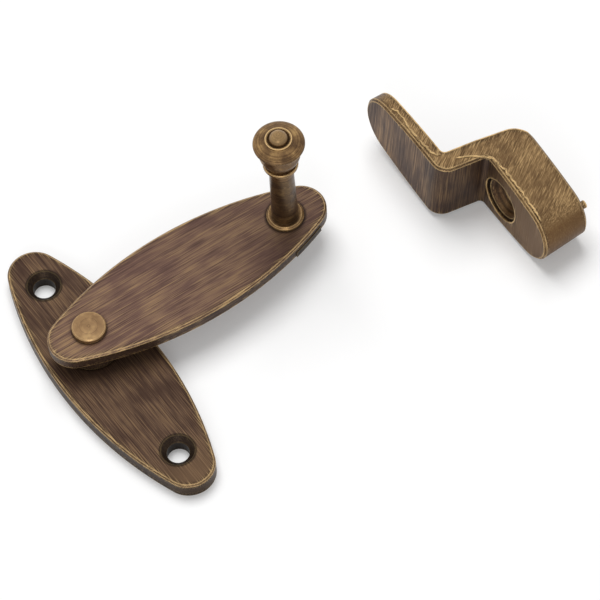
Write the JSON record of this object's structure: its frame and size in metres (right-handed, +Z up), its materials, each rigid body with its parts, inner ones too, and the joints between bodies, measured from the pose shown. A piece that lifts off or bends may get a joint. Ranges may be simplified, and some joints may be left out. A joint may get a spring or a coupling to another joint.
{
  "type": "cabinet latch",
  "caption": "Surface-mounted cabinet turn latch: a boat-shaped lever with a turned knob pivots on a boat-shaped backplate, beside its separate offset keeper.",
  "frame": {"origin": "middle of the backplate's two screw holes, on its flat back face", "axes": "+X along the backplate, +Y towards the keeper, +Z up out of the backplate along the knob"},
  "size_m": [0.0702, 0.1139, 0.0419],
  "materials": {
    "plate_brass": "dark brown patina brushed along the plate, worn golden on its bevels",
    "washer_brass": "dark brown patina",
    "rivet_brass": "turned, half worn patina with a bright rim",
    "knob_brass": "turned, olive brown patina with bright rings",
    "keeper_brass": "cast, brown patina, worn golden on its edges"
  },
  "bodies": {
    "backplate": {"backplate": "plate_brass", "pivot_washer": "washer_brass", "pivot_rivet": "rivet_brass", "keeper": "keeper_brass"},
    "lever": {"lever": "plate_brass", "knob": "knob_brass"}
  },
  "joints": [
    {"name": "lever_pivot", "type": "hinge", "parent": "backplate", "child": "lever", "pos_m": [-0.007, 0, 0.0086], "axis": [0, 0, 1], "continuous": true}
  ]
}
